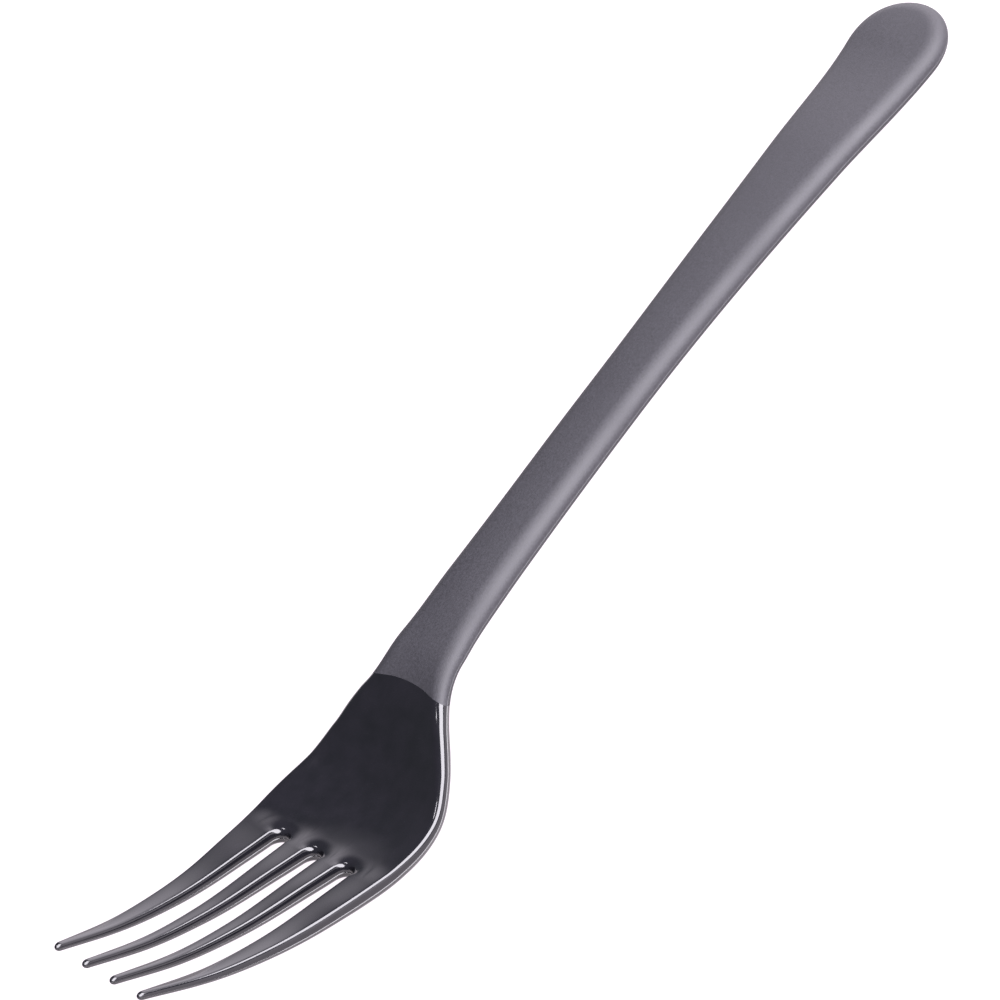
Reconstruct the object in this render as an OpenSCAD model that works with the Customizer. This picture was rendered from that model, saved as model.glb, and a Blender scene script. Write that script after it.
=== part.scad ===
// Dinner fork: one dark plastic moulding with a satin handle and a polished head.
// It lies on its back: tines toward -X, end of the handle toward +X, hollow side up.
// Millimetres. The origin is on the table, under the middle of the fork's length.

/* [Overall] */
// Length from the tips of the tines to the end of the handle
fork_len = 190; // [160:1:220]
// Greatest width of the head, just behind the slots
head_w = 29.1; // [28:0.1:32]
// Width of the handle near its rounded end
end_w = 17.1; // [14:0.1:20]
// Height of the underside of the tine tips above the table
tip_rise = 26.5; // [20:0.5:30]
// Height of the underside of the neck above the table
neck_rise = 8.1; // [5:0.1:11]

/* [Tines and slots] */
// Length of the slots between the tines, from the tips to where the half round root begins
slot_len = 30.2; // [26:0.1:34]
// Width of an inner tine at its tip
tip_w = 1.1; // [0.9:0.05:1.4]
// Width of an inner tine at its root
root_w = 4; // [3:0.1:4.4]
// Width of a slot at the tips
tip_gap = 4.8; // [4:0.1:5]
// Width of a slot at its root
root_gap = 2.8; // [2.4:0.1:3.4]
// How far the inner tines stand out past the outer ones
tip_arc = 0.05; // [0:0.05:1]

/* [Thickness] */
// Thickness of a tine at its tip
tip_t = 1.2; // [1:0.1:1.8]
// Thickness of a tine at its root
root_t = 2.7; // [2:0.1:3]
// Thickness of the head behind the slots
head_t = 2.8; // [2.2:0.1:3.4]
// Thickness of the handle
handle_t = 4.1; // [3:0.1:5]
// How much the upper face of the handle is crowned
handle_crown = 0.5; // [0:0.1:1]
// How much the upper face of a tine is crowned, at its root
tine_crown = 0.2; // [0:0.05:0.3]
// Height of the mould's parting line in the side walls, as a share of the thickness
part_share = 0.56; // [0.45:0.01:0.7]
// How deep the head is hollowed between its rims
dish_depth = 1.8; // [0.5:0.1:2.5]

/* [Edges] */
// Width of the upper rounded edge along the tines and the slots
tine_edge = 0.55; // [0.3:0.05:0.7]
// Width of the drafted and rounded edge below it
tine_under = 1.05; // [0.5:0.05:1.2]
// Width of the upper rounded edge along the head
head_edge = 1.6; // [0.8:0.05:2]
// Width of the drafted and rounded edge below it
head_under = 1.2; // [0.5:0.05:1.6]
// Width of the upper rounded edge along the handle
handle_edge = 2.4; // [1.2:0.05:2.8]
// Width of the lower one
handle_under = 2.2; // [1.2:0.05:2.6]
// Width of the lip on the upper side of each slot's root
root_lip = 0.8; // [0.6:0.1:2]
// Depth of the soft dip in the head behind each slot
root_dip = 0.4; // [0:0.1:0.6]
// How far that dip reaches past the slot
dip_len = 3.2; // [2:0.1:5]
// Length over which a tine's tip is rounded off
tip_round = 0.6; // [0.4:0.1:1.6]

/* [Finish line and end] */
// Distance from the tips to where the polished head meets the satin handle
finish_at = 59; // [56:0.5:66]
// How far that line is bowed toward the handle
finish_bow = 1.2; // [0.5:0.1:3]
// Length of the rounded end of the handle
end_round = 9.8; // [8:0.1:14]

/* [Hidden] */
head_colour = [0.16, 0.16, 0.18];
handle_colour = [0.36, 0.35, 0.38];

// Underside seen from the side: [share of the length, share of the tips' rise]
tine_side_shares = [[0, 1], [0.04, 0.705], [0.08, 0.48], [0.13, 0.265], [0.18, 0.08], [0.23, 0]];
// The same from the belly to the end: [share of the length, share of the neck's rise].
// What goes below zero is trimmed off, which leaves the flat that the end rests on
neck_side_shares = [
    [0.265, 0.23], [0.3, 0.68], [0.34, 1], [0.39, 0.985], [0.45, 0.935],
    [0.55, 0.835], [0.7, 0.595], [0.83, 0.295], [0.95, -0.02], [1, -0.02]];
// Outline seen from above: [share of the length, share of half the head's width]
head_side_shares = [
    [0, 0.645], [0.05, 0.76], [0.1, 0.85], [0.15, 0.94], [0.2, 1],
    [0.24, 0.925], [0.28, 0.725], [0.315, 0.485]];
// The same for the handle: [share of the length, share of half the end's width]
handle_side_shares = [
    [0.35, 0.685], [0.4, 0.63], [0.46, 0.605], [0.53, 0.6], [0.62, 0.605],
    [0.74, 0.69], [0.86, 0.835], [0.94, 0.955], [1, 1.09]];
// Hollow of the head: [share of the length, share of its depth]
dish_shares = [[0, 0.2], [0.1, 0.1], [0.22, 1], [0.28, 0.8], [0.35, 0], [1, 0]];
// Where the thicknesses are met, as shares of the length
blade_share = 0.25;
shoulder_share = 0.32;
shank_share = 0.4;
shoulder_mix_share = 0.55;
// Where the lines of points run in the neck, as a share of its half width
inner_line_share = 0.45;
// Widest part of a piece that a rounded edge may take
edge_limit_share = 0.9;
// How far the rounded lines of points reach past a slot's root and into the end
root_reach = 3;
end_reach_share = 0.45;
// How much of the tips' lean is made up by starting them further out
lead_share = 0.65;

EDGE_N = 14;     // strips from the upper face round the edge to the underside
FLAT_N = 2;      // how many of them lie between the inner line and the rounding
TIP_N = 4;       // stations round a tine's tip
TINE_N = 19;     // stations along a tine, its tip included
ARC_N = 6;       // steps round a slot's root
HEAD_N = 12;     // stations from the roots to the finish line
FADE_N = 6;      // stations over which a curved line is straightened
SHANK_N = 32;    // stations along the handle
HALF_N = EDGE_N / 2;
ARCS_N = 3 * ARC_N;
ROOT_N = 2 * TINE_N + ARC_N;
LINE_N = TINE_N + HEAD_N;

function mix(a, b, t) = a + (b - a) * t;
function ease(t) = let (u = min(max(t, 0), 1)) u * u * (3 - 2 * u);

// Smooth curve through a table of [place, value]; it doesn't overshoot a peak
function span_of(k, x, i = 0) = i >= len(k) - 2 || x <= k[i + 1][0] ? i : span_of(k, x, i + 1);
function rate(k, i) = (k[i + 1][1] - k[i][1]) / (k[i + 1][0] - k[i][0]);
function lean(k, i) =
    i == 0 ? rate(k, 0) :
    i == len(k) - 1 ? rate(k, i - 1) :
    rate(k, i - 1) * rate(k, i) <= 0 ? 0 :
    let (a = k[i][0] - k[i - 1][0], b = k[i + 1][0] - k[i][0])
    (rate(k, i - 1) * b + rate(k, i) * a) / (a + b);
function smooth(k, x) =
    let (i = span_of(k, x), d = k[i + 1][0] - k[i][0], t = (x - k[i][0]) / d, u = 1 - t)
    k[i][1] * u * u * (1 + 2 * t) + k[i + 1][1] * t * t * (3 - 2 * t)
    + d * t * u * (lean(k, i) * u - lean(k, i + 1) * t);
function steepness(k, x) =
    let (i = span_of(k, x), d = k[i + 1][0] - k[i][0], t = (x - k[i][0]) / d, u = 1 - t)
    6 * t * u * rate(k, i) + lean(k, i) * u * (1 - 3 * t) + lean(k, i + 1) * t * (3 * t - 2);

side_curve = concat(
    [for (p = tine_side_shares) [p[0] * fork_len, p[1] * tip_rise]],
    [for (p = neck_side_shares) [p[0] * fork_len, p[1] * neck_rise]]);
outline = concat(
    [for (p = head_side_shares) [p[0] * fork_len, p[1] * head_w / 2]],
    [for (p = handle_side_shares) [p[0] * fork_len, p[1] * end_w / 2]]);
dish_curve = [for (p = dish_shares) [p[0] * fork_len, p[1] * dish_depth]];
thick_curve = [
    [0, tip_t], [slot_len, root_t], [blade_share * fork_len, head_t],
    [shoulder_share * fork_len, mix(head_t, handle_t, shoulder_mix_share)],
    [shank_share * fork_len, handle_t], [fork_len, handle_t]];
end_from = fork_len - end_round;

function half_w(x) = smooth(outline, x);
function thick(x) = smooth(thick_curve, x);
function across(x, y) = pow(y / half_w(x), 2);
function crown(x) =
    handle_crown * ease((x - finish_at) / (shank_share * fork_len - finish_at))
    * (1 - pow(max(x - end_from, 0) / end_round, 2));
function tine_rise(x) =
    tine_crown * min(inner_w(x) / root_w, 1)
    * (1 - ease((x - slot_len) / (root_gap / 2 + root_reach)));
// Soft dips in line with the slots, spaced as their roots are
function dip(x, y) =
    let (w = (x - slot_len) / dip_len, v = y / (root_w + root_gap))
    abs(v) > 3 / 2 ? 0 :
    root_dip * ease(3 * w) * (1 - ease(w)) * pow(cos(180 * (v - round(v))), 2);

// A point of the fork: h is its height above the underside, square to the side curve
function skin(x, y, h) =
    let (s = steepness(side_curve, x))
    [x - fork_len / 2, y, smooth(side_curve, x) + smooth(dish_curve, x) * across(x, y)]
    + h / sqrt(1 + s * s) * [-s, 0, 1];
// f runs from 1 on the upper face over 0 on the parting line to -1 below, s thins the tips,
// and c is the share of a tine's crown at this point
function layer(x, y, f, s, c = 1) =
    skin(x, y, thick(x) * (part_share + s * f * (f > 0 ? 1 - part_share : part_share))
        + max(f, 0) * s * (crown(x) * (1 - across(x, y)) + tine_rise(x) * c - dip(x, y)));

// Rounded edge: step q goes from the inner line w1 over the wall w0 and back below
function edge_turn(q) = 90 * (HALF_N - q) / (HALF_N - FLAT_N);
function edge_flat(q) = max(abs(q - HALF_N) - (HALF_N - FLAT_N), 0) / FLAT_N;
function edge_point(w0, w1, q, e, s, c = 1) =
    let (reach = norm(w1 - w0), a = min(max(edge_turn(q), -90), 90),
         r = min(a > 0 ? e[0] : e[1], edge_limit_share * reach) * (1 - cos(a)) / reach,
         t = mix(r, 1, edge_flat(q)), p = mix(w0, w1, t))
    layer(p[0], p[1], sin(a), s, c * t * (2 - t));

// Plan of the tines: i is 0 to 3 from -Y to +Y
function gap(x) = mix(tip_gap, root_gap, x / slot_len);
function inner_w(x) = mix(tip_w, root_w, x / slot_len);
function outer_w(x) = half_w(x) - inner_w(x) - gap(x) - gap(x) / 2;
function tine_w(i, x) = i == 0 || i == 3 ? outer_w(x) : inner_w(x);
function tine_y(i, x) =
    (i < 2 ? -1 : 1) * (i == 0 || i == 3 ? half_w(x) - outer_w(x) / 2 : (gap(x) + inner_w(x)) / 2);
function line_y(i, x) =
    mix(tine_y(i, x), (2 * i - 3) / 3 * inner_line_share * half_w(x),
        ease((x - slot_len) / (finish_at - slot_len)));
function tip_start(i) = (i == 0 || i == 3 ? tip_arc : 0) - tip_lead;
function tip_fill(x) = x < tip_round ? sqrt(1 - pow(1 - x / tip_round, 2)) : 1;

// The tips lean back at their parting line, so their stations start this much further out
tip_lead = lead_share * tip_t * part_share * sin(atan(-steepness(side_curve, 0)));

// Station r along a tine or, past the root, along the head
function tip_station(r) = tip_round * (1 - cos(90 * (r + 1) / (TIP_N + 1)));
function tine_station(r) =
    r < TIP_N ? tip_station(r) : mix(tip_round, slot_len, (r - TIP_N) / (TINE_N - TIP_N));
function station(i, r) =
    r >= TINE_N ? mix(slot_len, finish_at, (r - TINE_N) / HEAD_N) :
    let (x = tine_station(r)) x + tip_start(i) * (1 - x / slot_len);
function tip_share(r) = r >= TINE_N ? 1 : tip_fill(tine_station(r));
function bow(x, y, t) = finish_bow * t * t * (1 - across(x, y));
function head_t_of(r) = max(r - TINE_N, 0) / HEAD_N;
function line_plan(i, r) =
    let (x = station(i, r), y = line_y(i, x)) [x + bow(x, y, head_t_of(r)), y];
function wall_plan(i, side, r) =
    let (x = station(i, r))
    r > TINE_N ? [x, side * half_w(x)] :
    [x, tine_y(i, x) + side * tine_w(i, x) / 2 * tip_share(r)];
function arc_plan(k, j, outer) =
    let (a = 180 * j / ARC_N, ya = tine_y(k, slot_len), yb = tine_y(k + 1, slot_len),
         wa = outer ? ya : ya + tine_w(k, slot_len) / 2,
         wb = outer ? yb : yb - tine_w(k + 1, slot_len) / 2,
         reach = root_gap / 2 + (outer ? root_reach : 0))
    [slot_len + reach * sin(a), mix(wa, wb, (1 - cos(a)) / 2)];
function edge_curve(tine, head, handle) = [
    [0, tine], [slot_len, tine], [blade_share * fork_len, head], [finish_at, handle],
    [fork_len, handle]];
upper_edge = edge_curve(tine_edge, head_edge, handle_edge);
under_edge = edge_curve(tine_under, head_under, handle_under);
function rim_edge(x) = [smooth(upper_edge, x), smooth(under_edge, x)];

// Head points. Side strips: k = 0 and 4 are the rims, 1 to 3 go round the slots
function strip_n(k) = k == 0 || k == 4 ? LINE_N : ROOT_N;
function strip_point(k, j, q) =
    k == 0 || k == 4 ?
        let (i = k == 0 ? 0 : 3, side = k == 0 ? -1 : 1, w = wall_plan(i, side, j))
        edge_point(w, line_plan(i, j), q, rim_edge(w[0]), tip_share(j)) :
    j <= TINE_N ?
        edge_point(wall_plan(k - 1, 1, j), line_plan(k - 1, j), q, [tine_edge, tine_under],
            tip_share(j)) :
    j >= TINE_N + ARC_N ?
        edge_point(wall_plan(k, -1, ROOT_N - j), line_plan(k, ROOT_N - j), q, [tine_edge, tine_under],
            tip_share(ROOT_N - j)) :
        let (a = j - TINE_N, turn = sin(180 * a / ARC_N))
        edge_point(arc_plan(k - 1, a, false), arc_plan(k - 1, a, true), q,
            [mix(tine_edge, root_lip, pow(turn, 4)), mix(tine_under, tine_edge, turn)], 1,
            web_crown(a));
// Share of the tines' crown between two lines of points: none of it in line with a slot
function web_crown(c) = pow(cos(180 * c / ARC_N), 2);
function web_point(k, c, r, f) =
    let (fade = max(1 - r / FADE_N, 0), x = station(1, TINE_N + r),
         reach = root_gap / 2 + root_reach,
         t = mix(c / ARC_N, (1 - cos(180 * c / ARC_N)) / 2, fade),
         y = mix(line_y(k - 1, x), line_y(k, x), t))
    layer(x + reach * sin(180 * c / ARC_N) * fade + bow(x, y, r / HEAD_N), y, f, 1, web_crown(c));

head_points = concat(
    [for (f = [1, -1], i = [0:3], r = [0:LINE_N])
        let (p = line_plan(i, r)) layer(p[0], p[1], f, tip_share(r))],
    [for (k = [0:4], j = [0:strip_n(k)], q = [1:EDGE_N - 1]) strip_point(k, j, q)],
    [for (f = [1, -1], k = [1:3], c = [1:ARC_N - 1])
        let (p = arc_plan(k - 1, c, true)) layer(p[0], p[1], f, 1, web_crown(c))],
    [for (f = [1, -1], k = [1:3], c = [1:ARC_N - 1], r = [1:HEAD_N]) web_point(k, c, r, f)],
    [for (i = [0:3]) layer(tip_start(i), line_y(i, tip_start(i)), 0, 1)]);

LINES_N = 4 * (LINE_N + 1);
STRIP_AT = [for (k = [0:5]) 2 * LINES_N
    + (EDGE_N - 1) * (k == 0 ? 0 : LINE_N + 1 + min(k - 1, 3) * (ROOT_N + 1)
        + (k == 5 ? LINE_N + 1 : 0))];
ARCS_AT = STRIP_AT[5];
WEBS_AT = ARCS_AT + 2 * 3 * (ARC_N - 1);
TIPS_AT = WEBS_AT + 2 * 3 * (ARC_N - 1) * HEAD_N;

function line_at(low, i, r) = low * LINES_N + i * (LINE_N + 1) + r;
function arc_at(low, k, c) = ARCS_AT + (low * 3 + k - 1) * (ARC_N - 1) + c - 1;
function strip_at(k, j, q) =
    q > 0 && q < EDGE_N ? STRIP_AT[k] + j * (EDGE_N - 1) + q - 1 :
    let (low = q == 0 ? 0 : 1)
    k == 0 ? line_at(low, 0, j) :
    k == 4 ? line_at(low, 3, j) :
    j <= TINE_N ? line_at(low, k - 1, j) :
    j >= TINE_N + ARC_N ? line_at(low, k, ROOT_N - j) : arc_at(low, k, j - TINE_N);
function web_at(low, k, c, r) =
    c == 0 ? line_at(low, k - 1, TINE_N + r) :
    c == ARC_N ? line_at(low, k, TINE_N + r) :
    r == 0 ? arc_at(low, k, c) :
    WEBS_AT + ((low * 3 + k - 1) * (ARC_N - 1) + c - 1) * HEAD_N + r - 1;

// Two triangles; flip turns them over
function quad(a, b, c, d, flip = false) = flip ? [[a, c, b], [a, d, c]] : [[a, b, c], [a, c, d]];
function sheet(g, flip) = [for (i = [0:len(g) - 2], j = [0:len(g[i]) - 2])
    each quad(g[i][j], g[i + 1][j], g[i + 1][j + 1], g[i][j + 1], flip)];
function strip_sheet(k) = [for (j = [0:strip_n(k)]) [for (q = [0:EDGE_N]) strip_at(k, j, q)]];
function web_sheet(low, k) = [for (c = [0:ARC_N]) [for (r = [0:HEAD_N]) web_at(low, k, c, r)]];
// Cap between the upper and the lower half of a row of points, without empty triangles
function cap(upper, lower, flip) = [for (c = [0:len(upper) - 2])
    for (t = quad(upper[c], upper[c + 1], lower[c + 1], lower[c], flip))
        if (t[0] != t[1] && t[1] != t[2] && t[2] != t[0]) t];

function head_row(low) = concat(
    [for (q = [HALF_N:-1:1]) strip_at(0, LINE_N, low == 0 ? q : EDGE_N - q)],
    [for (k = [1:3], c = [0:ARC_N - 1]) web_at(low, k, c, HEAD_N)], [line_at(low, 3, LINE_N)],
    [for (q = [1:HALF_N]) strip_at(4, LINE_N, low == 0 ? q : EDGE_N - q)]);
head_faces = concat(
    sheet(strip_sheet(0), false),
    [for (k = [1:4]) each sheet(strip_sheet(k), true)],
    [for (k = [1:3]) each sheet(web_sheet(0, k), false)],
    [for (k = [1:3]) each sheet(web_sheet(1, k), true)],
    [for (i = [0:3], q = [0:EDGE_N - 1])
        each [
            i == 0 ? [strip_at(0, 0, q), strip_at(0, 0, q + 1), TIPS_AT] :
                [strip_at(i, ROOT_N, q), strip_at(i, ROOT_N, q + 1), TIPS_AT + i],
            [strip_at(i + 1, 0, q + 1), strip_at(i + 1, 0, q), TIPS_AT + i]]],
    cap(head_row(0), head_row(1), false));

// Handle points. One strip runs up the -Y side, round the end and back on the +Y side
LOOP_N = 2 * SHANK_N + ARCS_N;
function shank_x(r) = mix(finish_at, end_from, r / SHANK_N);
function shank_plan(r, t) =
    let (x = shank_x(r), fade = max(1 - (SHANK_N - r) / FADE_N, 0),
         y = inner_line_share * half_w(x) * mix(2 * t - 1, -cos(180 * t), fade))
    [x + end_reach_share * end_round * sin(180 * t) * fade + bow(x, y, max(1 - r / FADE_N, 0)), y];
function end_plan(t) =
    let (x = end_round * sin(180 * t))
    [end_from + x, -(half_w(end_from) + steepness(outline, end_from) * x) * cos(180 * t)];
function loop_point(j, q) =
    let (back = j > SHANK_N + ARCS_N, r = min(j, LOOP_N - j, SHANK_N),
         t = min(max(j - SHANK_N, 0) / ARCS_N, 1), x = shank_x(r),
         wall = r < SHANK_N ? [x, (back ? 1 : -1) * half_w(x)] : end_plan(t))
    edge_point(wall, shank_plan(r, t), q, [handle_edge, handle_under], 1);
handle_points = concat(
    [for (j = [0:LOOP_N], q = [0:EDGE_N]) loop_point(j, q)],
    [for (f = [1, -1], c = [1:ARCS_N - 1], r = [0:SHANK_N - 1])
        let (p = shank_plan(r, c / ARCS_N)) layer(p[0], p[1], f, 1)]);
SHANKS_AT = (LOOP_N + 1) * (EDGE_N + 1);
function loop_at(j, q) = j * (EDGE_N + 1) + q;
function shank_at(low, c, r) =
    c == 0 ? loop_at(r, low * EDGE_N) :
    c == ARCS_N ? loop_at(LOOP_N - r, low * EDGE_N) :
    r == SHANK_N ? loop_at(SHANK_N + c, low * EDGE_N) :
    SHANKS_AT + (low * (ARCS_N - 1) + c - 1) * SHANK_N + r;
function shank_sheet(low) = [for (c = [0:ARCS_N]) [for (r = [0:SHANK_N]) shank_at(low, c, r)]];
function shank_row(low) = concat(
    [for (q = [HALF_N:-1:1]) loop_at(0, low == 0 ? q : EDGE_N - q)],
    [for (c = [0:ARCS_N]) shank_at(low, c, 0)],
    [for (q = [1:HALF_N]) loop_at(LOOP_N, low == 0 ? q : EDGE_N - q)]);
handle_faces = concat(
    sheet([for (j = [0:LOOP_N]) [for (q = [0:EDGE_N]) loop_at(j, q)]], false),
    sheet(shank_sheet(0), false), sheet(shank_sheet(1), true),
    cap(shank_row(0), shank_row(1), true));

module head() {
    color(head_colour) polyhedron(points = head_points, faces = head_faces, convexity = 6);
}

module handle() {
    color(handle_colour)
        difference() {
            polyhedron(points = handle_points, faces = handle_faces, convexity = 4);
            translate([0, -end_w, -end_w]) cube([fork_len, 2 * end_w, end_w]);
        }
}

head();
handle();
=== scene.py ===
"""Dinner fork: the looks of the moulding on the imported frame.

The fork is one plastic moulding with a polished head and a satin handle. Both pieces
are meshed here from the same curves as the solids, only finer, so that the polish
shows no facets. Lengths are millimetres up to the mesh itself, and the studio round
the fork is in metres.
"""

import math

import bpy
import numpy as np
from mathutils import Matrix, Vector


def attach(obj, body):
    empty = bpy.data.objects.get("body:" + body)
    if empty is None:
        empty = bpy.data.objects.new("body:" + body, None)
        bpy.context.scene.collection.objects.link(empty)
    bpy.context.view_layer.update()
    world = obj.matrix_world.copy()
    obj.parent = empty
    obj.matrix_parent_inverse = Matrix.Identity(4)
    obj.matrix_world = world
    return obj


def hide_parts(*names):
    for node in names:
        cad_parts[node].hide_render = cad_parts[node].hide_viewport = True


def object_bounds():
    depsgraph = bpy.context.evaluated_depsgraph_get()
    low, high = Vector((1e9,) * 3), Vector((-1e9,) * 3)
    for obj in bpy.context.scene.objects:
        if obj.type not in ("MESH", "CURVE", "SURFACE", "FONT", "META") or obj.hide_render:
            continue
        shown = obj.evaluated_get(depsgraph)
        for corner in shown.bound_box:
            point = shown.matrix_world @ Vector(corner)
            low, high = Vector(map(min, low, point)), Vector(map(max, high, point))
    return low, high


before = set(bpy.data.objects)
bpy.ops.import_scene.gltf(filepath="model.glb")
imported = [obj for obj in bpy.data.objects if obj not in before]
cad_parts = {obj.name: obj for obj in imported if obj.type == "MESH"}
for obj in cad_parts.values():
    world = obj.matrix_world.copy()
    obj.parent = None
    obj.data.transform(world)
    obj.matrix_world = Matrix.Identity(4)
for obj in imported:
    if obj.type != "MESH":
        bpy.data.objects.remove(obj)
CAD_BOX = [list(corner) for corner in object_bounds()]

MM = 0.001

# Sizes of the fork, with the values of the part's source. In a name, W is a width, T a
# thickness and RISE the height of the underside above the table.

FORK_LEN = 190.0
HEAD_W, END_W = 29.1, 17.1
TIP_RISE, NECK_RISE = 26.5, 8.1
SLOT_LEN = 30.2          # from the tips to where a slot's half-round root begins
TIP_W, ROOT_W = 1.1, 4.0
TIP_GAP, ROOT_GAP = 4.8, 2.8
TIP_ARC = 0.05           # how far the inner tines stand out past the outer ones
TIP_T, ROOT_T, HEAD_T, HANDLE_T = 1.2, 2.7, 2.8, 4.1
TINE_CROWN = 0.2
HANDLE_CROWN = 0.5
PART_SHARE = 0.56        # height of the widest part of the walls, as a share of the thickness
DISH_DEPTH = 1.8
TINE_EDGE, TINE_UNDER = 0.55, 1.05      # widths of the rounded edges above and below
HEAD_EDGE, HEAD_UNDER = 1.6, 1.2
HANDLE_EDGE, HANDLE_UNDER = 2.4, 2.2
ROOT_LIP = 0.8           # width of the soft lip on a slot's root
LIP_POWER = 4            # how closely that lip gathers round the middle of the root
ROOT_DIP, DIP_LEN = 0.4, 3.2
TIP_ROUND = 0.6
FINISH_AT, FINISH_BOW = 59.0, 1.2       # where the polish ends, and how far that line is bowed
END_ROUND = 9.8          # length of the rounded end of the handle
INNER_LINE = 0.45        # where the lines of points run, as a share of the half width
EDGE_LIMIT = 0.9         # widest part of a piece that a rounded edge may take
ROOT_REACH = 3.0         # how far the rounded lines of points reach past a slot's root
END_REACH = 0.45         # and into the end of the handle, as a share of its rounding
LEAD = 0.65              # share of the tips' lean that starting further out makes up

TINES, SLOTS = 4, 3
OUTER_TINES = (0, 3)

# Underside, outline and hollow of the fork, as (share of the length, share of a size)
TINE_SIDE = [(0, 1), (0.04, 0.705), (0.08, 0.48), (0.13, 0.265), (0.18, 0.08), (0.23, 0)]
NECK_SIDE = [(0.265, 0.23), (0.3, 0.68), (0.34, 1), (0.39, 0.985), (0.45, 0.935),
             (0.55, 0.835), (0.7, 0.595), (0.83, 0.295), (0.95, -0.02), (1, -0.02)]
HEAD_SIDE = [(0, 0.645), (0.05, 0.76), (0.1, 0.85), (0.15, 0.94), (0.2, 1),
             (0.24, 0.925), (0.28, 0.725), (0.315, 0.485)]
HANDLE_SIDE = [(0.35, 0.685), (0.4, 0.63), (0.46, 0.605), (0.53, 0.6), (0.62, 0.605),
               (0.74, 0.69), (0.86, 0.835), (0.94, 0.955), (1, 1.09)]
DISH = [(0, 0.2), (0.1, 0.1), (0.22, 1), (0.28, 0.8), (0.35, 0), (1, 0)]
# Where the thicknesses are met, as shares of the length
BLADE, SHOULDER, SHANK = 0.25, 0.32, 0.4
SHOULDER_MIX = 0.55

# What only the looks need: where the mould's hairline runs on the walls, and half its
# width, both as the f of skin(), and what keeps the table clear of the flat on it
HAIRLINE_AT = -0.25
HAIRLINE_HALF = 0.12
FLOOR_GAP = 0.1

# Steps of the mesh: round an edge, beside it, round a tip, along a tine and round a root,
# then from the roots to the finish line, over a line that straightens, and along the handle
EDGE_N, FLAT_N, TIP_N, TINE_N, ARC_N = 36, 6, 10, 90, 14
HEAD_N, FADE_N, SHANK_N = 64, 32, 200
END_N = 3 * ARC_N
KEYS_PER_MM = 20000      # points that fall on the same key are welded into one


def mix(a, b, t):
    return a + (b - a) * t


def ease(t):
    """0 to 1 with a soft start and a soft end."""
    u = np.clip(t, 0, 1)
    return u * u * (3 - 2 * u)


class Curve:
    """Smooth curve through (place, value) pairs that doesn't overshoot a peak."""

    def __init__(self, points):
        self.x, self.y = np.array(points, float).T
        self.step = np.diff(self.x)
        self.rate = np.diff(self.y) / self.step
        lean = np.empty(len(self.x))
        lean[0], lean[-1] = self.rate[0], self.rate[-1]
        before, after = self.step[:-1], self.step[1:]
        lean[1:-1] = (self.rate[:-1] * after + self.rate[1:] * before) / (before + after)
        lean[1:-1][self.rate[:-1] * self.rate[1:] <= 0] = 0
        self.lean = lean

    def span(self, x):
        i = np.clip(np.searchsorted(self.x, x) - 1, 0, len(self.step) - 1)
        return i, self.step[i], (x - self.x[i]) / self.step[i]

    def __call__(self, x):
        i, step, t = self.span(x)
        u = 1 - t
        return (self.y[i] * u * u * (1 + 2 * t) + self.y[i + 1] * t * t * (3 - 2 * t)
                + step * t * u * (self.lean[i] * u - self.lean[i + 1] * t))

    def slope(self, x):
        i, step, t = self.span(x)
        u = 1 - t
        return (6 * t * u * self.rate[i] + self.lean[i] * u * (1 - 3 * t)
                + self.lean[i + 1] * t * (3 * t - 2))


def scaled(table, size):
    """A table of shares as places along the fork and values in millimetres."""
    return [(place * FORK_LEN, value * size) for place, value in table]


def edge_width(tine, head, handle):
    """Width of a rounded edge along the fork."""
    return Curve([(0, tine), (SLOT_LEN, tine), (BLADE * FORK_LEN, head),
                  (FINISH_AT, handle), (FORK_LEN, handle)])


side = Curve(scaled(TINE_SIDE, TIP_RISE) + scaled(NECK_SIDE, NECK_RISE))
half_w = Curve(scaled(HEAD_SIDE, HEAD_W / 2) + scaled(HANDLE_SIDE, END_W / 2))
dish = Curve(scaled(DISH, DISH_DEPTH))
thick = Curve([(0, TIP_T), (SLOT_LEN, ROOT_T), (BLADE * FORK_LEN, HEAD_T),
               (SHOULDER * FORK_LEN, mix(HEAD_T, HANDLE_T, SHOULDER_MIX)),
               (SHANK * FORK_LEN, HANDLE_T), (FORK_LEN, HANDLE_T)])
upper_edge = edge_width(TINE_EDGE, HEAD_EDGE, HANDLE_EDGE)
under_edge = edge_width(TINE_UNDER, HEAD_UNDER, HANDLE_UNDER)
END_FROM = FORK_LEN - END_ROUND
TIP_LEAD = LEAD * TIP_T * PART_SHARE * math.sin(math.atan(-side.slope(0.0)))


def across(x, y):
    """0 on the middle of the fork and 1 at its sides."""
    return (y / half_w(x)) ** 2


def crown(x):
    """Height of the handle's crowned top, which is gone at the finish line and at the end."""
    rise = ease((x - FINISH_AT) / (SHANK * FORK_LEN - FINISH_AT))
    fall = 1 - (np.maximum(x - END_FROM, 0) / END_ROUND) ** 2
    return HANDLE_CROWN * rise * fall


def tine_crown(x):
    """Height of the crown along a tine, which runs out in the head behind the slots."""
    width = np.minimum(mix(TIP_W, ROOT_W, x / SLOT_LEN) / ROOT_W, 1)
    return TINE_CROWN * width * (1 - ease((x - SLOT_LEN) / (ROOT_GAP / 2 + ROOT_REACH)))


def root_dip(x, y):
    """Depth of the soft dips behind the slots: each sinks over a third of its length."""
    w = (x - SLOT_LEN) / DIP_LEN
    v = y / (ROOT_W + ROOT_GAP)
    sideways = np.where(np.abs(v) < SLOTS / 2, np.cos(np.pi * (v - np.round(v))) ** 2, 0)
    return ROOT_DIP * ease(3 * w) * (1 - ease(w)) * sideways


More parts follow.
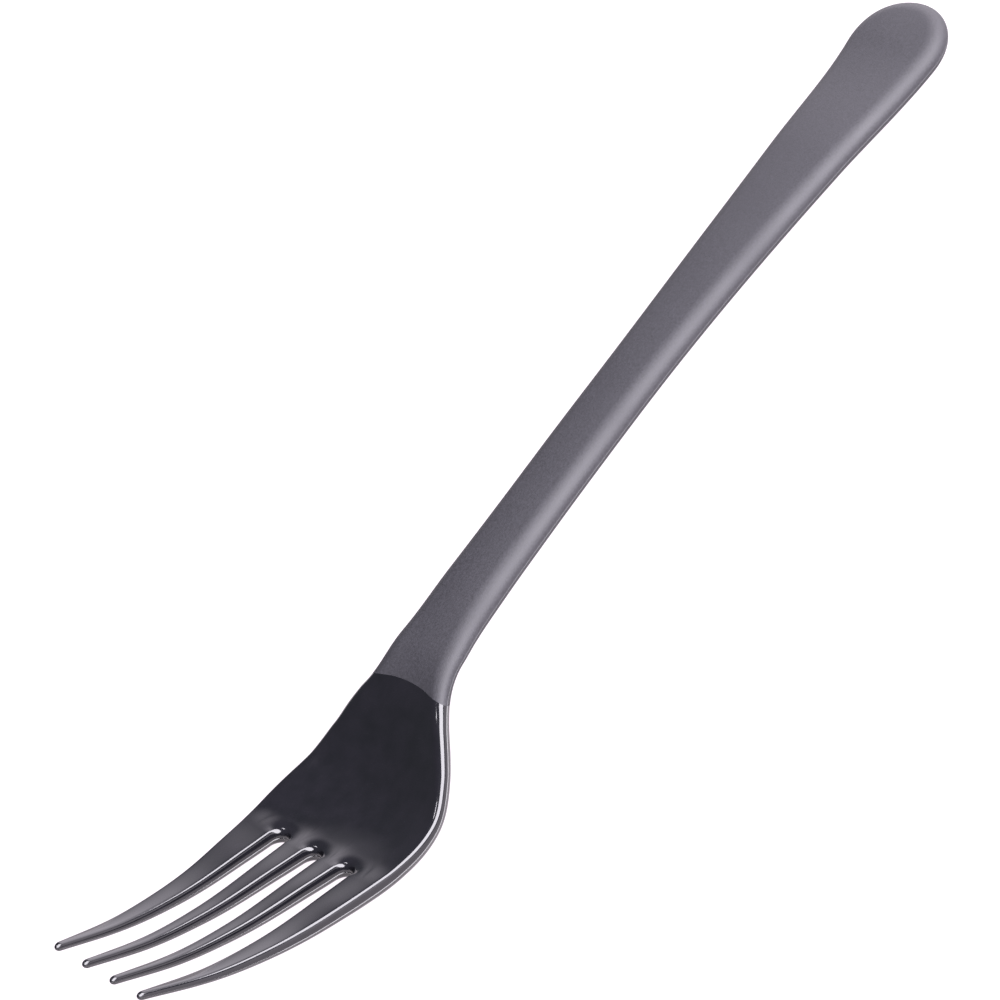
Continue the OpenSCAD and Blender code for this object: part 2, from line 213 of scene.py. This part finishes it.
def skin(x, y, f, s, c=1.0):
    """A point of the fork's skin, and as a fourth number its f.

    f runs from 1 on the upper face over 0 on the widest part of the wall to -1 below,
    s thins the tips, and c is the share of a tine's crown at this point. The plastics
    find the mould's hairline by f.
    """
    x, y, f, s, c = np.broadcast_arrays(x, y, f, s, c)
    h = thick(x) * (PART_SHARE + s * f * np.where(f > 0, 1 - PART_SHARE, PART_SHARE))
    rise = crown(x) * (1 - across(x, y)) + tine_crown(x) * c - root_dip(x, y)
    h = h + np.maximum(f, 0) * s * rise
    lean = side.slope(x)
    out = h / np.sqrt(1 + lean * lean)
    z = side(x) + dish(x) * across(x, y) + out
    return np.stack([x - FORK_LEN / 2 - lean * out, y, np.maximum(z, 0), f], -1)


def rounded_edge(wall, line, over, under, s, c=1.0):
    """Strips from the line on the upper face, round the wall, and back to the line below."""
    over, under, s, c = (np.reshape(v, (-1, 1)) for v in (over, under, s, c))
    q = np.arange(EDGE_N + 1)
    half = EDGE_N / 2
    turn = np.radians(np.clip(90 * (half - q) / (half - FLAT_N), -90, 90))
    flat = np.maximum(np.abs(q - half) - (half - FLAT_N), 0) / FLAT_N
    reach = np.linalg.norm(line - wall, axis=-1)[:, None]
    width = np.minimum(np.where(turn > 0, over, under), EDGE_LIMIT * reach)
    t = mix(width * (1 - np.cos(turn)) / np.maximum(reach, 1e-9), 1, flat)
    plan = wall[:, None] + (line - wall)[:, None] * t[..., None]
    return skin(plan[..., 0], plan[..., 1], np.sin(turn)[None], s, c * t * (2 - t))


# Plan of the head. i counts the tines and k the slots from -Y to +Y, hand is the side of
# a tine, and r counts the stations from a tip to the finish line.

def gap(x):
    return mix(TIP_GAP, ROOT_GAP, x / SLOT_LEN)


def tine_w(i, x):
    inner = mix(TIP_W, ROOT_W, x / SLOT_LEN)
    return half_w(x) - SLOTS / 2 * gap(x) - inner if i in OUTER_TINES else inner


def tine_y(i, x):
    outer = i in OUTER_TINES
    place = half_w(x) - tine_w(i, x) / 2 if outer else (gap(x) + tine_w(i, x)) / 2
    return place if i >= TINES / 2 else -place


def line_y(i, x):
    """The line of points along a tine, which runs on over the head to the finish line."""
    inward = ease((x - SLOT_LEN) / (FINISH_AT - SLOT_LEN))
    return mix(tine_y(i, x), (2 * i - SLOTS) / SLOTS * INNER_LINE * half_w(x), inward)


def tine_station(r):
    """Stations along a tine: close round its tip, then even."""
    tip = TIP_ROUND * (1 - np.cos(np.radians(90 * (r + 1) / (TIP_N + 1))))
    return np.where(r < TIP_N, tip, mix(TIP_ROUND, SLOT_LEN, (r - TIP_N) / (TINE_N - TIP_N)))


def tip_start(i):
    """Where a tine starts: its tip leans back, so in plan it starts further out."""
    return (TIP_ARC if i in OUTER_TINES else 0) - TIP_LEAD


def station(i, r):
    x = tine_station(r)
    x = x + tip_start(i) * (1 - x / SLOT_LEN)
    return np.where(r >= TINE_N, mix(SLOT_LEN, FINISH_AT, (r - TINE_N) / HEAD_N), x)


def tip_share(r):
    """Share of its width and thickness that a tine has in the rounding of its tip."""
    x = tine_station(r)
    fill = np.sqrt(np.maximum(1 - (1 - x / TIP_ROUND) ** 2, 0))
    return np.where((r >= TINE_N) | (x >= TIP_ROUND), 1, fill)


def bow(x, y, t):
    return FINISH_BOW * t * t * (1 - across(x, y))


def line_plan(i, r):
    x = station(i, r)
    y = line_y(i, x)
    return np.stack([x + bow(x, y, np.maximum(r - TINE_N, 0) / HEAD_N), y], -1)


def wall_plan(i, hand, r):
    x = station(i, r)
    y = tine_y(i, x) + hand * tine_w(i, x) / 2 * tip_share(r)
    return np.stack([x, np.where(r > TINE_N, hand * half_w(x), y)], -1)


def web_share(t):
    """Share of the tines' crown between two lines of points: none of it in line with a slot."""
    return np.cos(np.pi * t) ** 2


def root_plan(k, j, outer):
    """Arc round a slot's root, on its wall or on the outer line of points round it."""
    turn = np.pi * j / ARC_N
    a, b = tine_y(k, SLOT_LEN), tine_y(k + 1, SLOT_LEN)
    if not outer:
        a, b = a + tine_w(k, SLOT_LEN) / 2, b - tine_w(k + 1, SLOT_LEN) / 2
    reach = ROOT_GAP / 2 + (ROOT_REACH if outer else 0)
    return np.stack([SLOT_LEN + reach * np.sin(turn), mix(a, b, (1 - np.cos(turn)) / 2)], -1)


# Sheets of points. A sheet is a grid of points, kept with whether its faces are flipped.

def side_strip(i, hand):
    """The rounded edge along an outer tine and the side of the head."""
    r = np.arange(TINE_N + HEAD_N + 1)
    wall = wall_plan(i, hand, r)
    x = wall[:, 0]
    return rounded_edge(wall, line_plan(i, r), upper_edge(x), under_edge(x), tip_share(r))


def slot_strip(k):
    """The rounded edge along a slot: up one tine, round the root and back on the next."""
    r = np.arange(TINE_N + 1)
    back = r[::-1]
    j = np.arange(1, ARC_N)
    bend = np.sin(np.pi * j / ARC_N)

    def between(value, root):
        """One value along both tines, and these values round the root between them."""
        tine = np.full(len(r), value)
        return np.concatenate([tine, root, tine])

    wall = [wall_plan(k, 1, r), root_plan(k, j, False), wall_plan(k + 1, -1, back)]
    line = [line_plan(k, r), root_plan(k, j, True), line_plan(k + 1, back)]
    over = between(TINE_EDGE, mix(TINE_EDGE, ROOT_LIP, bend ** LIP_POWER))
    under = between(TINE_UNDER, mix(TINE_UNDER, TINE_EDGE, bend))
    s = np.concatenate([tip_share(r), np.ones(len(j)), tip_share(back)])
    c = between(1.0, web_share(j / ARC_N))
    return rounded_edge(np.concatenate(wall), np.concatenate(line), over, under, s, c)


def web_faces(k):
    """Upper and lower face of the head from a slot's root to the finish line."""
    c, n = np.meshgrid(np.arange(ARC_N + 1), np.arange(HEAD_N + 1), indexing="ij")
    fade = np.maximum(1 - n / FADE_N, 0)
    x = station(1, TINE_N + n)
    t = mix(c / ARC_N, (1 - np.cos(np.pi * c / ARC_N)) / 2, fade)
    y = mix(line_y(k, x), line_y(k + 1, x), t)
    reach = (ROOT_GAP / 2 + ROOT_REACH) * np.sin(np.pi * c / ARC_N) * fade
    x = x + reach + bow(x, y, n / HEAD_N)
    return [skin(x, y, f, 1.0, web_share(c / ARC_N)) for f in (1.0, -1.0)]


def tip_fan(i, ring):
    """Closes the tip of a tine from the end of a strip to its foremost point."""
    start = tip_start(i)
    tip = skin(start, line_y(i, start), 0, 1)
    return np.stack([np.broadcast_to(tip, ring.shape), ring])


def finish_cap(near, far, upper, lower):
    """Closes a piece on the finish line, between its upper and its lower row of points."""
    half = EDGE_N // 2
    over = [near[half:0:-1], *upper, far[1:half + 1]]
    under = [near[half:EDGE_N], *lower, far[EDGE_N - 1:half - 1:-1]]
    return np.stack([np.concatenate(over), np.concatenate(under)])


def head_sheets():
    """The skin of the head, and apart from it the cap that closes it on the finish line."""
    sheets, tips, rims, uppers, lowers = [], [], [], [], []
    for i, hand in zip(OUTER_TINES, (-1, 1)):
        strip = side_strip(i, hand)
        sheets.append((strip, hand > 0))
        tips.append((i, strip[0], hand > 0))
        rims.append(strip[-1])
    for k in range(SLOTS):
        strip = slot_strip(k)
        upper, lower = web_faces(k)
        sheets += [(strip, True), (upper, False), (lower, True)]
        tips += [(k, strip[0], True), (k + 1, strip[-1], False)]
        uppers.append(upper[:, -1])
        lowers.append(lower[:, -1])
    sheets += [(tip_fan(i, ring), flip) for i, ring, flip in tips]
    return sheets, (finish_cap(*rims, uppers, lowers), True)


def shank_plan(r, t):
    """Lines of points on the handle: r counts along it, and t runs from side to side."""
    x = mix(FINISH_AT, END_FROM, r / SHANK_N)
    fade = np.maximum(1 - (SHANK_N - r) / FADE_N, 0)
    y = INNER_LINE * half_w(x) * mix(2 * t - 1, -np.cos(np.pi * t), fade)
    reach = END_REACH * END_ROUND * np.sin(np.pi * t) * fade
    x = x + reach + bow(x, y, np.maximum(1 - r / FADE_N, 0))
    return np.stack([x, y], -1)


def shank_wall(r, t):
    """The wall of the handle, where t turns round the end once r has reached it."""
    x = mix(FINISH_AT, END_FROM, r / SHANK_N)
    beyond = END_ROUND * np.sin(np.pi * t)
    end_y = -(half_w(END_FROM) + half_w.slope(END_FROM) * beyond) * np.cos(np.pi * t)
    shank_y = np.where(t < 1, -1, 1) * half_w(x)
    on_shank = r < SHANK_N
    return np.stack([np.where(on_shank, x, END_FROM + beyond),
                     np.where(on_shank, shank_y, end_y)], -1)


def handle_sheets():
    """The skin of the handle, and apart from it the cap that closes it on the finish line."""
    loop_n = 2 * SHANK_N + END_N
    j = np.arange(loop_n + 1)
    r = np.minimum(np.minimum(j, loop_n - j), SHANK_N)
    t = np.clip((j - SHANK_N) / END_N, 0, 1)
    full = np.ones(len(t))
    strip = rounded_edge(shank_wall(r, t), shank_plan(r, t),
                         HANDLE_EDGE * full, HANDLE_UNDER * full, full)
    c, n = np.meshgrid(np.arange(END_N + 1), np.arange(SHANK_N + 1), indexing="ij")
    plan = shank_plan(n, c / END_N)
    upper, lower = (skin(plan[..., 0], plan[..., 1], f, 1.0) for f in (1.0, -1.0))
    cap = finish_cap(strip[0], strip[-1], [upper[:, 0]], [lower[:, 0]])
    return [(strip, False), (upper, False), (lower, True)], (cap, False)


# Meshes

def key_of(point):
    return tuple(np.round(np.asarray(point)[:3] * KEYS_PER_MM).astype(np.int64).tolist())


def weld(sheets):
    """One list of points and faces from sheets that share their borders."""
    places, points, faces = {}, [], []
    for grid, flip in sheets:
        index = np.empty(grid.shape[:2], int)
        for spot in np.ndindex(index.shape):
            key = key_of(grid[spot])
            if key not in places:
                places[key] = len(points)
                points.append(grid[spot])
            index[spot] = places[key]
        quads = np.stack([index[:-1, :-1], index[1:, :-1], index[1:, 1:], index[:-1, 1:]], -1)
        quads = quads.reshape(-1, 4)
        faces += [list(dict.fromkeys(q)) for q in (quads if flip else quads[:, ::-1]).tolist()]
    return points, [f for f in faces if len(f) > 2]


def new_mesh(name, points, faces):
    mesh = bpy.data.meshes.new(name)
    # The finer curves reach 0.006 mm past the facets of the solids, and stop at their box
    inside = np.clip([p[:3] * MM for p in points], *CAD_BOX)
    mesh.from_pydata(inside.tolist(), [], faces)
    mesh.shade_smooth()
    return mesh


def skin_normals(sheets):
    """Normals of the whole moulding, so that no shade breaks where its two pieces meet."""
    points, faces = weld(sheets)
    mesh = new_mesh("whole_fork", points, faces)
    normals = {key_of(p): tuple(v.normal) for p, v in zip(points, mesh.vertices)}
    bpy.data.meshes.remove(mesh)
    return normals


def fork_piece(name, sheets, cap, normals, node, material):
    """One piece of the fork, closed by its cap, in place of its node."""
    points, faces = weld(sheets + [cap])
    mesh = new_mesh(name, points, faces)
    cap_keys = {key_of(p) for row in cap[0] for p in row}
    keys = [key_of(p) for p in points]
    split = []
    for face in mesh.polygons:
        flat = all(keys[v] in cap_keys for v in face.vertices)
        split += [tuple(face.normal) if flat else normals[keys[v]] for v in face.vertices]
    mesh.normals_split_custom_set(split)
    height = mesh.attributes.new("wall_height", "FLOAT", "POINT")
    height.data.foreach_set("value", [float(p[3]) for p in points])
    mesh.materials.append(material)
    piece = bpy.data.objects.new(name, mesh)
    bpy.context.scene.collection.objects.link(piece)
    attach(piece, "root")
    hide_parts(node)


# Materials. Sizes of patterns and depths of bumps are millimetres on the fork.

PLASTIC_IOR = 1.58       # SAN is 1.57 and polystyrene 1.59


def linear(hex_colour):
    """sRGB hex to the linear colour that a shader takes."""
    parts = [int(hex_colour[i:i + 2], 16) / 255 for i in (1, 3, 5)]
    parts = [p / 12.92 if p <= 0.04045 else ((p + 0.055) / 1.055) ** 2.4 for p in parts]
    return (*parts, 1)


def add(tree, kind, settings=None, links=None, **values):
    """One node: settings are its options, values its inputs, links its wires."""
    node = tree.nodes.new(kind)
    for key, value in (settings or {}).items():
        setattr(node, key, value)
    for key, value in values.items():
        node.inputs[key.replace("_", " ")].default_value = value
    for key, socket in (links or {}).items():
        tree.links.new(socket, node.inputs[key])
    return node


def plastic(name):
    """The bare plastic, and the place on the fork from which its patterns are drawn."""
    material = bpy.data.materials.new(name)
    material.use_nodes = True
    tree = material.node_tree
    shader = tree.nodes["Principled BSDF"]
    shader.inputs["IOR"].default_value = PLASTIC_IOR
    place = add(tree, "ShaderNodeTexCoord").outputs["Object"]
    return material, tree, shader, place


def spots(tree, place, size_mm, detail=2.0, rough=0.5):
    """Noise with blobs of about this size, from 0 to 1."""
    noise = add(tree, "ShaderNodeTexNoise", {}, {"Vector": place}, Scale=1 / (size_mm * MM),
                Detail=detail, Roughness=rough)
    return noise.outputs["Fac"]


def spread(tree, value, low, high, at=(0.3, 0.7)):
    """The part of the noise between the two numbers of at, stretched from low to high."""
    return add(tree, "ShaderNodeMapRange", {}, {"Value": value}, From_Min=at[0], From_Max=at[1],
               To_Min=low, To_Max=high).outputs["Result"]


def tinted(tree, value, dark, light):
    """A colour between two hex colours, chosen by the noise."""
    share = spread(tree, value, 0.0, 1.0)
    blend = add(tree, "ShaderNodeMix", {"data_type": "RGBA"}, {0: share})
    colour_a, colour_b = [k for k in blend.inputs if k.type == "RGBA"]
    colour_a.default_value, colour_b.default_value = linear(dark), linear(light)
    return next(k for k in blend.outputs if k.type == "RGBA")


def roughened(tree, shader, base, extra):
    """The roughness: a base over large areas, and fine detail on top of it."""
    rough = add(tree, "ShaderNodeMath", {"operation": "ADD"}, {0: base, 1: extra})
    tree.links.new(rough.outputs[0], shader.inputs["Roughness"])


def bumped(tree, shader, height, depth_mm, before=None):
    """A bump of this depth on the shader, over the one before it if there is one."""
    links = {"Height": height}
    if before:
        links["Normal"] = before
    bump = add(tree, "ShaderNodeBump", {}, links, Strength=1.0, Distance=depth_mm * MM)
    tree.links.new(bump.outputs["Normal"], shader.inputs["Normal"])
    return bump.outputs["Normal"]


def mould_hairline(tree):
    """1 on the hairline where the halves of the mould met, low on the walls, and 0 beside it."""
    height = add(tree, "ShaderNodeAttribute", {"attribute_name": "wall_height"}).outputs["Fac"]
    above = add(tree, "ShaderNodeMath", {"operation": "SUBTRACT"}, {0: height})
    above.inputs[1].default_value = HAIRLINE_AT
    off = add(tree, "ShaderNodeMath", {"operation": "ABSOLUTE"}, {0: above.outputs[0]})
    return add(tree, "ShaderNodeMapRange", {"interpolation_type": "SMOOTHSTEP"},
               {"Value": off.outputs[0]}, From_Min=HAIRLINE_HALF, From_Max=0.0).outputs["Result"]


def polished_plastic():
    """Moulded against polished steel: a deep black gloss that mirrors the studio.

    Faint waves make its highlights swim a little, a light haze and a few hair scratches
    along the fork keep it from being a perfect mirror.
    """
    material, tree, shader, place = plastic("polished_moulded_plastic")
    waves = spots(tree, place, size_mm=9.0, detail=1.0)
    haze = spots(tree, place, size_mm=3.0, detail=3.0)
    tree.links.new(tinted(tree, haze, "#0B0B0E", "#100F13"), shader.inputs["Base Color"])
    # Scratches are 20 times as long as they are wide, and only the peaks of the noise show
    along = add(tree, "ShaderNodeMapping", {}, {"Vector": place})
    along.inputs["Scale"].default_value = (0.05, 1, 1)
    hairs = spots(tree, along.outputs["Vector"], size_mm=0.25)
    scratches = spread(tree, hairs, low=0.0, high=0.05, at=(0.62, 0.8))
    roughened(tree, shader, spread(tree, haze, low=0.08, high=0.13), scratches)
    polish = bumped(tree, shader, waves, depth_mm=0.03)
    bumped(tree, shader, mould_hairline(tree), depth_mm=0.2, before=polish)
    return material


def satin_plastic():
    """Moulded against spark-eroded steel: a dark grey with a fine even grain.

    The grain scatters the light into a soft sheen, a little shinier where it is rubbed.
    """
    material, tree, shader, place = plastic("satin_spark_eroded_plastic")
    # The real grain is about 0.05 mm across: it is drawn at 0.35 mm, so that it shows
    grain = spots(tree, place, size_mm=0.35, detail=3.0, rough=0.7)
    rubbed = spots(tree, place, size_mm=14.0)
    tree.links.new(tinted(tree, grain, "#18171B", "#26252A"), shader.inputs["Base Color"])
    speckle = spread(tree, grain, low=-0.03, high=0.03)
    roughened(tree, shader, spread(tree, rubbed, low=0.59, high=0.67), speckle)
    skin_grain = bumped(tree, shader, grain, depth_mm=0.018)
    bumped(tree, shader, mould_hairline(tree), depth_mm=0.25, before=skin_grain)
    # The grain traps part of what a polished skin of the same plastic would reflect
    shader.inputs["Specular IOR Level"].default_value = 0.4
    return material


head_plastic = polished_plastic()
handle_plastic = satin_plastic()

head_skin, head_cap = head_sheets()
handle_skin, handle_cap = handle_sheets()
normals = skin_normals(head_skin + handle_skin)
fork_piece("fork_head", head_skin, head_cap, normals, "head", head_plastic)
fork_piece("fork_handle", handle_skin, handle_cap, normals, "handle",
           handle_plastic)


# The studio, in metres. Its lamps have the faint mauve cast of the photo's highlights.

FLOOR_HALF = 3
FLOOR_GLOW = (1.1, 1, 1.08, 1)
ROOM_COLOUR, ROOM_STRENGTH = (0.9, 0.94, 1.1, 1), 0.2
PALE, MAUVE = (1, 0.97, 1.04), (1, 0.94, 1.03)


def dim_to_sides(data, fade):
    """Makes a lamp brightest in its middle, and dark at its sides."""
    data.use_nodes = True
    tree = data.node_tree
    across_lamp = add(tree, "ShaderNodeNewGeometry").outputs["Parametric"]
    centred = add(tree, "ShaderNodeVectorMath", {"operation": "SUBTRACT"}, {0: across_lamp})
    centred.inputs[1].default_value = (0.5, 0.5, 0)
    out = add(tree, "ShaderNodeVectorMath", {"operation": "ABSOLUTE"}, {0: centred.outputs[0]})
    sides = add(tree, "ShaderNodeSeparateXYZ", {}, {0: out.outputs[0]})
    dims = [add(tree, "ShaderNodeMapRange", {"interpolation_type": "SMOOTHSTEP"},
                {"Value": sides.outputs[k]}, From_Min=0.5, From_Max=0.5 * (1 - fade))
            for k in (0, 1)]
    both = add(tree, "ShaderNodeMath", {"operation": "MULTIPLY"},
               {0: dims[0].outputs[0], 1: dims[1].outputs[0]})
    tree.links.new(both.outputs[0], tree.nodes["Emission"].inputs["Strength"])


def softbox(name, azimuth, elevation, distance, size, brightness, colour, fade=0.0):
    """A soft light that faces the middle of the fork.

    Azimuth runs from +X to +Y, size is across and up, brightness is that of its face, and
    fade is the share of each half of the light over which it dims.
    """
    azimuth, elevation = math.radians(azimuth), math.radians(elevation)
    place = distance * Vector((math.cos(azimuth) * math.cos(elevation),
                               math.sin(azimuth) * math.cos(elevation), math.sin(elevation)))
    data = bpy.data.lights.new(name, "AREA")
    data.shape = "RECTANGLE"
    data.size, data.size_y = size
    data.energy = brightness * math.pi * size[0] * size[1]
    data.color = colour
    if fade:
        dim_to_sides(data, fade)
    lamp = bpy.data.objects.new(name, data)
    lamp.location = place
    lamp.rotation_euler = place.to_track_quat("Z", "Y").to_euler()
    bpy.context.scene.collection.objects.link(lamp)


def studio_floor():
    """The white table. It glows, so no shadow shows on it, and the gloss mirrors it pale."""
    mesh = bpy.data.meshes.new("studio_floor")
    low = -FLOOR_GAP * MM
    corners = [(-1, -1), (1, -1), (1, 1), (-1, 1)]
    mesh.from_pydata([(x * FLOOR_HALF, y * FLOOR_HALF, low) for x, y in corners], [],
                     [(0, 1, 2, 3)])
    material = bpy.data.materials.new("white_studio_paper")
    material.use_nodes = True
    shader = material.node_tree.nodes["Principled BSDF"]
    shader.inputs["Base Color"].default_value = linear("#444444")
    shader.inputs["Roughness"].default_value = 0.9
    shader.inputs["Emission Color"].default_value = FLOOR_GLOW
    shader.inputs["Emission Strength"].default_value = 1.0
    mesh.materials.append(material)
    floor = bpy.data.objects.new("studio_floor", mesh)
    bpy.context.scene.collection.objects.link(floor)


def studio_room():
    """Dim bluish light from all round, the darkest thing that the gloss mirrors."""
    world = bpy.data.worlds.new("studio_white")
    bpy.context.scene.world = world
    world.use_nodes = True
    background = world.node_tree.nodes["Background"]
    background.inputs["Color"].default_value = ROOM_COLOUR
    background.inputs["Strength"].default_value = ROOM_STRENGTH


studio_floor()
# The main light: the bright lines on the rim and the slots, and the sheen of the handle
softbox("near_softbox", azimuth=-80, elevation=42, distance=1.3, size=(2.4, 1.2),
        brightness=15, colour=PALE)
# Low in front, for a little more light on the walls
softbox("low_fill", azimuth=-98, elevation=5, distance=1.3, size=(2.0, 0.6),
        brightness=2.4, colour=MAUVE, fade=0.6)
# Close to the end of the handle, whose satin pales toward it, and for the tines' faces
softbox("end_softbox", azimuth=6, elevation=12, distance=0.3, size=(1.0, 0.45),
        brightness=4.6, colour=MAUVE, fade=0.9)
# Small and high, for a short streak on the rim and the dots on the roots and the tips
softbox("overhead_light", azimuth=90, elevation=83, distance=1.2, size=(0.5, 0.14),
        brightness=18, colour=PALE)
studio_room()
bpy.context.scene.view_settings.view_transform = "Standard"


# The camera at the photo's angle. Azimuth runs from -Y to +X, the focal length is in
# pixels of the photo's frame, and distance and aim are millimetres.

AZIMUTH, ELEVATION, ROLL = -20.34, 44.64, 40.34
DISTANCE = 510.6
FOCAL = 3521.7
AIM = (-4.39, 10.46, 5.0)
SENSOR = 36              # millimetres across the picture
PHOTO_PIXELS = 1000


def photo_camera():
    azimuth, elevation = math.radians(AZIMUTH), math.radians(ELEVATION)
    back = Vector((math.sin(azimuth) * math.cos(elevation),
                   -math.cos(azimuth) * math.cos(elevation), math.sin(elevation)))
    right = Vector((math.cos(azimuth), math.sin(azimuth), 0))
    up = back.cross(right)
    roll = Matrix.Rotation(-math.radians(ROLL), 3, "Z")
    turned = Matrix((right, up, back)).transposed() @ roll
    data = bpy.data.cameras.new("photo_camera")
    data.sensor_width = SENSOR
    data.lens = SENSOR * FOCAL / PHOTO_PIXELS
    camera = bpy.data.objects.new("photo_camera", data)
    place = (Vector(AIM) + back * DISTANCE) * MM
    camera.matrix_world = Matrix.Translation(place) @ turned.to_4x4()
    bpy.context.scene.collection.objects.link(camera)
    bpy.context.scene.camera = camera


photo_camera()
